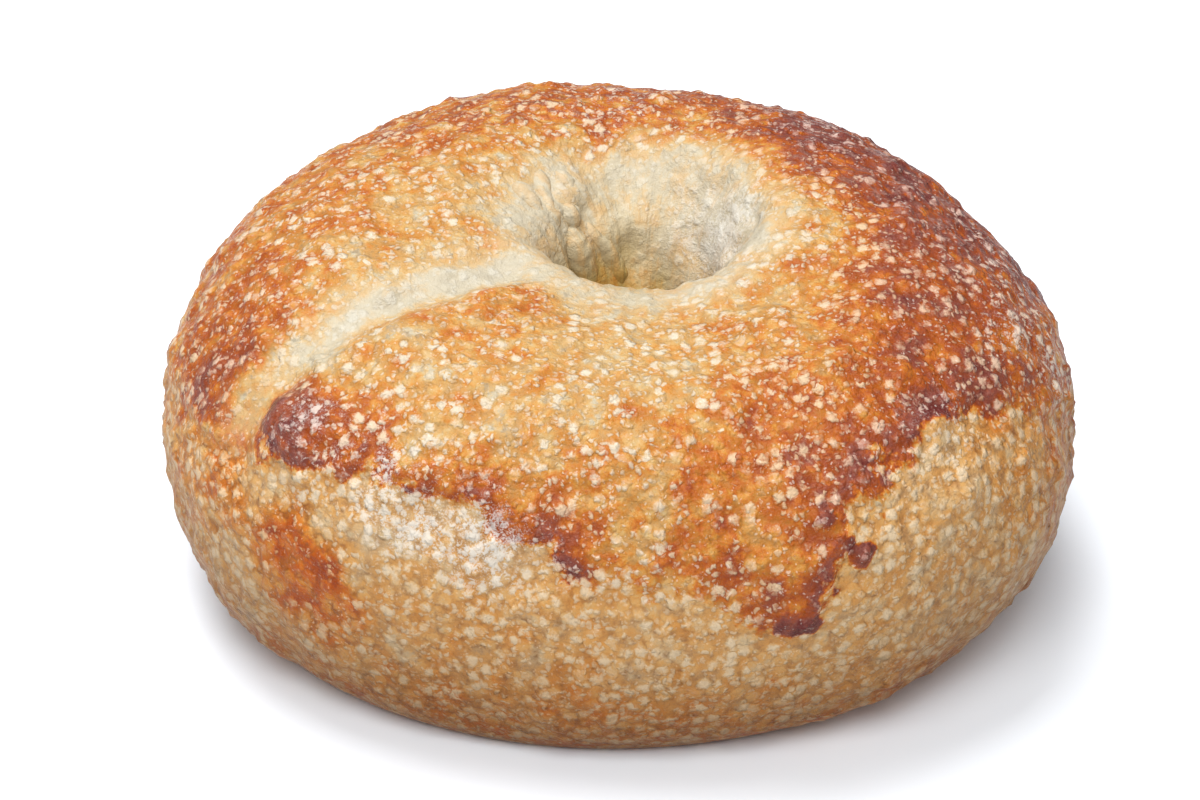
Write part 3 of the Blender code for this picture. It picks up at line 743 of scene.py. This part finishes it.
class Nodes:
    """Adds nodes to a material and joins them up."""

    def __init__(self, material):
        material.use_nodes = True
        self.tree = material.node_tree
        self.shader = self.tree.nodes["Principled BSDF"]

    def add(self, kind, settings=None, **inputs):
        """A new node, whose inputs go by their sockets' names, or as i0, i1 and so on."""
        node = self.tree.nodes.new(kind)
        for name, value in (settings or {}).items():
            setattr(node, name, value)
        for name, value in inputs.items():
            numbered = name[0] == "i" and name[1:].isdigit()
            self.feed(node, int(name[1:]) if numbered else name.replace("_", " "), value)
        return node

    def feed(self, node, name, value):
        """Joins a named input to another node's output, or sets it to a fixed value."""
        self.join(node.inputs[name], value)

    def join(self, socket, value):
        """The same for a socket, where a fixed colour is given without its alpha of 1."""
        if hasattr(value, "is_output"):
            self.tree.links.new(value, socket)
        else:
            socket.default_value = (*value, 1.0) if socket.type == "RGBA" else value

    def math(self, operation, first, second=0.0, third=0.0):
        """A sum done on numbers: its result."""
        node = self.add("ShaderNodeMath", {"operation": operation}, i0=first, i1=second, i2=third)
        return node.outputs[0]

    def total(self, *parts, start=0.0):
        """start plus each value times its share."""
        for value, share in parts:
            start = self.math("MULTIPLY_ADD", value, share, start)
        return start

    def times(self, first, *others):
        """All the values multiplied together."""
        for other in others:
            first = self.math("MULTIPLY", first, other)
        return first

    def less(self, first, second):
        """The first value less the second."""
        return self.math("SUBTRACT", first, second)

    def step(self, value, low, high, start=0.0, end=1.0):
        """A smooth step from start to end while value goes from low to high."""
        node = self.add("ShaderNodeMapRange", {"interpolation_type": "SMOOTHSTEP"}, Value=value)
        for name, number in (("From Min", low), ("From Max", high), ("To Min", start), ("To Max", end)):
            self.feed(node, name, number)
        return node.outputs[0]

    def vector(self, operation, first, **inputs):
        """A sum done on vectors: its result."""
        node = self.add("ShaderNodeVectorMath", {"operation": operation}, i0=first, **inputs)
        return node.outputs[0]

    def kept(self, name):
        """A number that was stored for each vertex."""
        return self.add("ShaderNodeAttribute", {"attribute_name": name}).outputs["Fac"]

    def kept_place(self, name, scale):
        """A kept vector, scaled along its three parts."""
        kept = self.add("ShaderNodeAttribute", {"attribute_name": name}).outputs["Vector"]
        return self.vector("MULTIPLY", kept, i1=scale)

    def noise(self, place, size, detail, roughness):
        """Noise about 0, mostly within 0.5 either way, whose features are size across."""
        node = self.add("ShaderNodeTexNoise", Vector=place, Scale=1.0 / size, Detail=detail)
        self.feed(node, "Roughness", roughness)
        return self.less(node.outputs["Fac"], 0.5)

    def bent(self, place, size, reach):
        """The place, pushed about by noise whose features are size across."""
        push = self.add("ShaderNodeTexNoise", Vector=place, Scale=1.0 / size, Detail=1.0).outputs["Color"]
        push = self.vector("SUBTRACT", push, i1=(0.5, 0.5, 0.5))
        return self.vector("ADD", place, i1=self.vector("SCALE", push, Scale=reach))

    def ramp(self, value, stops):
        """The colour at value, straight between the stops, each (value, colour)."""
        node = self.add("ShaderNodeValToRGB", Fac=value)
        node.color_ramp.interpolation = "LINEAR"
        points = node.color_ramp.elements
        while len(points) < len(stops):
            points.new(0.5)
        for point, (position, colour) in zip(points, stops):
            point.position = position
            point.color = (*colour, 1.0)
        return node.outputs["Color"]

    def mix(self, share, first, second, blend="MIX"):
        """The first colour, blended with a share of the second."""
        node = self.add("ShaderNodeMix", {"data_type": "RGBA", "blend_type": blend})
        self.feed(node, "Factor", share)
        for name, value in (("A", first), ("B", second)):
            self.join([s for s in node.inputs if s.name == name and s.type == "RGBA"][0], value)
        return [s for s in node.outputs if s.type == "RGBA"][0]

    def cells(self, place, size):
        """Cells that fill the surface: the distance to each one's middle, and its own chance."""
        node = self.add("ShaderNodeTexVoronoi", Vector=place, Scale=1.0 / size)
        chance = self.add("ShaderNodeSeparateColor", Color=node.outputs["Color"]).outputs[0]
        return node.outputs["Distance"], chance

    def lumps(self, place, size):
        """Rounded cells that fill the surface: the rise of each to its middle, and its chance."""
        away, chance = self.cells(place, size)
        return self.step(away, *LUMP_SLOPE, 1.0, 0.0), chance

    def round_dots(self, place, size, share, largest, soft):
        """Round dots, one to a cell for a share of the cells, 1 inside their soft edge."""
        away, chance = self.cells(place, size)
        radius = self.step(chance, 1.0 - share, 1.0, 0.0, largest)
        return self.step(self.less(radius, away), 0.0, soft)


crust = bpy.data.materials.new("baked_crust")
nodes = Nodes(crust)
place_out = nodes.add("ShaderNodeTexCoord").outputs["Object"]
bent_place = nodes.bent(place_out, BENT_SIZE, BENT_REACH)
bake_in, toast_in, plate_in = nodes.kept("bake"), nodes.kept("toast"), nodes.kept("plate")
pale_in, behind_in = nodes.kept("pale"), nodes.kept("behind")
glaze_in, frost_and_lit_wall_in = nodes.kept("glaze"), nodes.kept("frost_and_lit_wall")
coarse_in = nodes.kept("coarse")
fine = nodes.noise(place_out, *FINE_NOISE)
grit = nodes.noise(place_out, *GRIT_NOISE)
spoke = nodes.noise(nodes.kept_place("spoke", SPOKE_SCALE), *SPOKE_NOISE)
hoop = nodes.noise(nodes.kept_place("hoop", HOOP_SCALE), *HOOP_NOISE)
streaky = nodes.total((spoke, pale_in), (hoop, behind_in))

# How brown each point is: the toasted side below the ragged edge, the baked crust above it
edge_noise = nodes.noise(place_out, *EDGE_NOISE)
edge_in = nodes.total((edge_noise, EDGE_NOISE_REACH), start=nodes.kept("edge"))
on_top = nodes.step(edge_in, -1.0, 1.0)
on_side = nodes.less(1.0, on_top)
level = nodes.total((nodes.less(bake_in, toast_in), on_top), start=toast_in)
rim_in = nodes.times(nodes.kept("rim"), nodes.step(edge_in, *RIM_FADES, 1.0, 0.0))
level = nodes.total((rim_in, on_top), start=level)
contrast = nodes.step(level, *CONTRAST_LEVELS, *CONTRASTS)
contrast = nodes.total((on_side, SIDE_CONTRAST), start=contrast)
mottled = nodes.total((on_side, SIDE_MOTTLES), start=contrast)
uneven = nodes.total((fine, FINE_BROWNS), (coarse_in, 1.0), start=streaky)
browned = nodes.total((uneven, mottled), start=level)

# Dried skin lies over the glazed crust in ragged pale patches, thickest on the blisters
rough_skin = nodes.total((pale_in, PALE_SMOOTHS), start=1.0)
large, large_chance = nodes.lumps(bent_place, LARGE_BLISTER)
small, small_chance = nodes.lumps(bent_place, SMALL_BLISTER)
clustered = nodes.total(
    (plate_in, GATHERS["plate"]),
    (fine, GATHERS["fine"]),
    (coarse_in, GATHERS["coarse"]),
    (frost_and_lit_wall_in, GATHERS["frost_and_lit_wall"]),
    (glaze_in, GATHERS["glaze"]),
    (nodes.step(level, *BROWN_LEVELS), BROWN_GATHERS),
    (on_side, SIDE_GATHERS),
)
ragged = nodes.total((grit, GRIT_RAGS), (fine, FINE_RAGS))
large_there = nodes.step(nodes.total((large_chance, 1.0), start=clustered), *LARGE_CHANCES)
large_ragged = nodes.step(nodes.total((large, 1.0), start=ragged), *LARGE_HEIGHTS)
small_there = nodes.step(nodes.total((small_chance, 1.0), start=clustered), *SMALL_CHANCES)
small_ragged = nodes.step(nodes.total((small, 1.0), start=ragged), *SMALL_HEIGHTS)
large_pale = nodes.times(large_there, large_ragged)
small_pale = nodes.times(small_there, small_ragged, SMALL_SHARE)
blistered = nodes.math("MAXIMUM", large_pale, small_pale)
blistered = nodes.total((streaky, 1.0), (grit, GRIT_PALES), start=blistered)
blistered = nodes.total((pale_in, PALE_SHARE), start=nodes.times(blistered, rough_skin))
colour = nodes.mix(blistered, nodes.ramp(browned, CREVICE_COLOURS), nodes.ramp(level, BLISTER_COLOURS))

# Painted shade darkens the valleys between the large blisters, and small painted glints stand for light
# caught on the crust
valley = nodes.step(large, *VALLEY_SHADE_HEIGHTS, 1.0, 0.0)
valley = nodes.times(valley, nodes.step(fine, *VALLEY_SHADE_PATCHES, *VALLEY_SHADE_SHARES), rough_skin)
valley = nodes.times(valley, nodes.total((on_side, SIDE_VALLEY_SHADE), start=contrast), VALLEY_SHADE_DEPTH)
colour = nodes.mix(valley, colour, VALLEY_SHADE_TINT, "MULTIPLY")
# painted glints, fewer on the glaze
painted_glints = nodes.round_dots(bent_place, GLINT_SIZE, GLINT_SHARE, GLINT_RADIUS, GLINT_FADE)
painted_glints = nodes.times(painted_glints, contrast, nodes.step(glaze_in, *GLAZE_LEVELS, *GLAZED_GLINTS))
colour = nodes.mix(painted_glints, colour, GLINT_COLOUR)
colour = nodes.mix(on_side, colour, SIDE_TINT, "MULTIPLY")
# The frost whitens the colour in noisy patches, and so does the painted light on the hole's right wall
frost_noise = nodes.total((blistered, FROST_ON_FLAKES), (grit, FROST_ON_GRIT), start=fine)
frost_noise = nodes.total((frost_and_lit_wall_in, FROST_GATHERS), start=frost_noise)
frosted_and_lit_wall = nodes.times(frost_and_lit_wall_in, nodes.step(frost_noise, *FROST_STARTS))
colour = nodes.mix(nodes.times(frosted_and_lit_wall, FROST_SHARE), colour, FROST_AND_LIT_WALL_COLOUR)

# Then the painted shade deep in the hole, the painted shade low down on the sides and the scorched foot
colour = nodes.mix(1.0, colour, nodes.ramp(nodes.kept("painted_hole_shade"), HOLE_SHADE_TINTS), "MULTIPLY")
# painted shade low on the sides, by the kept number low
colour = nodes.mix(nodes.kept("low"), colour, SHADED_COLOUR, "MULTIPLY")
height = nodes.add("ShaderNodeSeparateXYZ", Vector=place_out).outputs["Z"]
sooty = nodes.total((nodes.noise(place_out, *SOOT_NOISE), SOOT_REACH), start=height)
scorched = nodes.step(sooty, *SCORCHED_HEIGHTS, *SCORCHED_SHARES)
scorched = nodes.times(scorched, nodes.less(1.0, nodes.kept("base")))
colour = nodes.mix(scorched, colour, BASE_COLOUR)
nodes.feed(nodes.shader, "Base Color", colour)

# Last the sheen, rougher where it is frosted, and the bump of the blisters and the grit
rough = nodes.total((fine, FINE_ROUGHENS), (on_top, TOP_ROUGHENS), start=ROUGHNESS)
rough = nodes.total((glaze_in, GLAZE_ROUGHENS), (frosted_and_lit_wall, FROST_ROUGHENS), start=rough)
nodes.feed(nodes.shader, "Roughness", rough)
large_rise = nodes.total((large_chance, LARGE_RISE_MORE), start=LARGE_RISE)
small_rise = nodes.total((small_chance, SMALL_RISE_MORE), start=SMALL_RISE)
raised = nodes.times(nodes.total((large, large_rise), (small, small_rise)), rough_skin)
raised = nodes.total((grit, GRIT_RISE), (fine, FINE_RISE), (streaky, STREAK_RISE), start=raised)
bumped = nodes.add("ShaderNodeBump", Strength=1.0, Distance=1.0 * MM, Height=raised)
nodes.feed(nodes.shader, "Normal", bumped.outputs[0])
nodes.feed(nodes.shader, "Specular IOR Level", SPECULAR_LEVEL)

bread.data.materials.append(crust)
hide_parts("bagel")
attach(bread, "root")

# The torn strands on the hole's left wall: dough that stuck and pulled apart when the ring
# was closed, pale and moist, each a lumpy cord more than half sunk in the wall. A strand is
# its (points in millimetres) and its (radii along it)
STRANDS = (
    (((-10.2, 15.0, 48.6), (-9.4, 12.4, 47.6), (-8.8, 9.8, 46.8), (-8.0, 7.6, 44.6), (-7.2, 6.2, 42.0)),
     (0.8, 1.3, 1.0, 1.6, 0.9)),
    (((-7.4, 15.4, 47.8), (-6.4, 13.6, 47.0), (-5.6, 12.2, 45.8), (-5.2, 11.2, 44.4)), (0.8, 1.3, 1.0, 0.8)),
    (((-7.0, 10.8, 45.6), (-6.2, 9.8, 45.2), (-5.4, 9.0, 44.6), (-5.1, 8.4, 42.8)), (0.8, 1.0, 1.4, 0.9)),
    (((-6.2, 8.8, 43.6), (-5.2, 7.9, 42.4), (-4.4, 7.2, 40.6), (-3.6, 7.0, 38.0), (-2.6, 6.8, 34.0)),
     (0.9, 1.4, 1.8, 1.9, 1.6)),
    (((-4.2, 10.2, 43.0), (-2.8, 9.4, 41.8), (-1.4, 9.0, 39.8), (0.0, 8.8, 37.0), (0.8, 8.4, 34.0)),
     (0.7, 1.0, 1.2, 1.4, 1.2)),
    (((-12.6, 10.6, 48.6), (-11.4, 8.8, 47.8), (-10.0, 7.4, 46.4), (-8.8, 5.8, 44.2)), (0.8, 1.4, 1.2, 0.8)),
    (((-9.6, 5.2, 45.2), (-8.2, 4.8, 43.4), (-7.0, 4.6, 40.6), (-6.2, 4.6, 37.0)), (0.9, 1.3, 1.4, 1.2)),
)
STRAND_ROWS, STRAND_SIDES = 44, 24
STRAND_LUMPS = ((3.0 * MM, 0.22 * MM, 200), (1.0 * MM, 0.20 * MM, 204))
STRAND_SINKS, STRAND_ENDS_SINK = 0.55, 0.60
STRAND_LUMPS_START = 0.6 * MM
# What the finish reads on them: pale dough, well inside the crust's edge
STRAND_NUMBERS = (("bake", 0.12), ("edge", 3.0), ("pale", 1.4), ("behind", 0.0))


def smooth_path(points, rows):
    """Even steps along a path: its given points joined by a Catmull-Rom curve."""
    ends = np.concatenate([2 * points[:1] - points[1:2], points, 2 * points[-1:] - points[-2:-1]])
    place = np.linspace(0.0, len(points) - 1.0, rows)
    first = np.minimum(place.astype(int), len(points) - 2)
    share = (place - first)[:, None]
    before, start, end, after = (ends[first + step] for step in range(4))
    straight = 2.0 * start + (end - before) * share
    curved = (2.0 * before - 5.0 * start + 4.0 * end - after) * share**2
    turned = (3.0 * start - before - 3.0 * end + after) * share**3
    return 0.5 * (straight + curved + turned)


def strand_surface(points, radii):
    """A cord of circles across a smooth path, pushed in and out by noise, closed at both ends.

    The radius follows the given radii and falls to nothing at the ends as a half circle
    does. The path is first moved into the wall, away from the hole's axis, by a share of
    the radius that grows with the fourth power of the way to its ends.
    """
    path = smooth_path(np.array(points) * MM, STRAND_ROWS)
    radius = smooth_path(np.array(radii)[:, None] * MM, STRAND_ROWS)[:, 0]
    share = np.linspace(-1.0, 1.0, STRAND_ROWS)
    into_wall = unit(path[:, :2] + MIDDLE[:2] - HOLE_SHIFT)
    path[:, :2] += into_wall * (radius * (STRAND_SINKS + STRAND_ENDS_SINK * share**4))[:, None]
    radius = radius * (1.0 - share**8) ** 0.5
    along = unit(np.gradient(path, axis=0))
    sideways = unit(np.cross(along, (0.0, 1.0, 0.0)))
    across = np.cross(sideways, along)
    turn = np.linspace(0.0, 2.0 * math.pi, STRAND_SIDES, endpoint=False)[None, :, None]
    outwards = np.cos(turn) * sideways[:, None] + np.sin(turn) * across[:, None]
    circles = path[:, None] + radius[:, None, None] * outwards
    lumps = sum(height * noise(circles, size, channel) for size, height, channel in STRAND_LUMPS)
    lumps = lumps * smooth(radius, 0.0, STRAND_LUMPS_START)[:, None]
    return circles + lumps[..., None] * outwards


def cord_faces(rows, sides):
    """Quads round an open cord, whose end rows have shrunk to a point."""
    faces = grid_faces(rows, sides).reshape(rows, sides, 4)[:-1]
    return faces.reshape(-1, 4)[:, ::-1]


surfaces = [strand_surface(points, radii).reshape(-1, 3) for points, radii in STRANDS]
strand_points = np.concatenate(surfaces)
one_strand = cord_faces(STRAND_ROWS, STRAND_SIDES)
strand_faces = np.concatenate([one_strand + k * len(surfaces[0]) for k in range(len(STRANDS))])
strands = new_piece("dough_strands", strand_points, strand_faces)
strand_turn = unit(strand_points[:, :2] + MIDDLE[:2] - HOLE_SHIFT)
for name, value in STRAND_NUMBERS:
    store(strands, name, np.full(len(strand_points), value))
# the strands take the hole's painted shade too
store(strands, "painted_hole_shade", hole_shade_at(strand_points))
store(strands, "spoke", np.column_stack([strand_turn, strand_points[:, 2]]))
strands.data.materials.append(crust)
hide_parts("bagel")
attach(strands, "root")

# The table top: plain, matt and white, wide enough to fill the picture from any side. It
# is not attached to the object's body, and so it is no part of the object
TABLE_SIZE = 6.0
TABLE_COLOUR = (0.78, 0.815, 0.86, 1.0)
TABLE_ROUGHNESS = 0.9
bpy.ops.mesh.primitive_plane_add(size=TABLE_SIZE)
table = bpy.context.object
table.name = "table_top"
white = bpy.data.materials.new("white_table")
white.use_nodes = True
matt = white.node_tree.nodes["Principled BSDF"]
matt.inputs["Base Color"].default_value = TABLE_COLOUR
matt.inputs["Roughness"].default_value = TABLE_ROUGHNESS
table.data.materials.append(white)

# The light: a white room, one large soft lamp above and behind the bread, and one in
# front, each (name, place, size, watts)
ROOM_STRENGTH = 0.44
LAMPS_AIM = Vector((0.0, 0.0, 20.0 * MM))
LAMPS = (
    ("lamp_above", (-0.12, 0.10, 0.60), 0.36, 3.9),
    ("lamp_in_front", (-0.05, -0.47, 0.61), 0.40, 4.7),
)
room = bpy.data.worlds.new("white_room")
bpy.context.scene.world = room
room.use_nodes = True
walls = room.node_tree.nodes["Background"]
walls.inputs["Color"].default_value = (1.0, 1.0, 1.0, 1.0)
walls.inputs["Strength"].default_value = ROOM_STRENGTH
for name, place, size, power in LAMPS:
    lamp = bpy.data.lights.new(name, "AREA")
    lamp.size = size
    lamp.energy = power
    holder = bpy.data.objects.new(name, lamp)
    bpy.context.scene.collection.objects.link(holder)
    holder.location = place
    holder.rotation_euler = (LAMPS_AIM - Vector(place)).to_track_quat("-Z", "Y").to_euler()
bpy.context.scene.view_settings.view_transform = "Standard"

# The camera: in front, looking down on the bagel at the photograph's angle, through a
# long lens from nearly half a metre away
CAMERA_ELEVATION = 32.0
CAMERA_DISTANCE = 432.7 * MM
CAMERA_TARGET = Vector((-2.21 * MM, -1.52 * MM, 23.48 * MM))
CAMERA_LENS = 100.0
camera = bpy.data.objects.new("camera", bpy.data.cameras.new("camera"))
bpy.context.scene.collection.objects.link(camera)
camera.data.lens = CAMERA_LENS
camera.data.clip_start = 10.0 * MM
tilt = math.radians(CAMERA_ELEVATION)
backwards = Vector((0.0, -math.cos(tilt), math.sin(tilt)))
camera.location = CAMERA_TARGET + backwards * CAMERA_DISTANCE
camera.rotation_euler = (-backwards).to_track_quat("-Z", "Y").to_euler()
bpy.context.scene.camera = camera
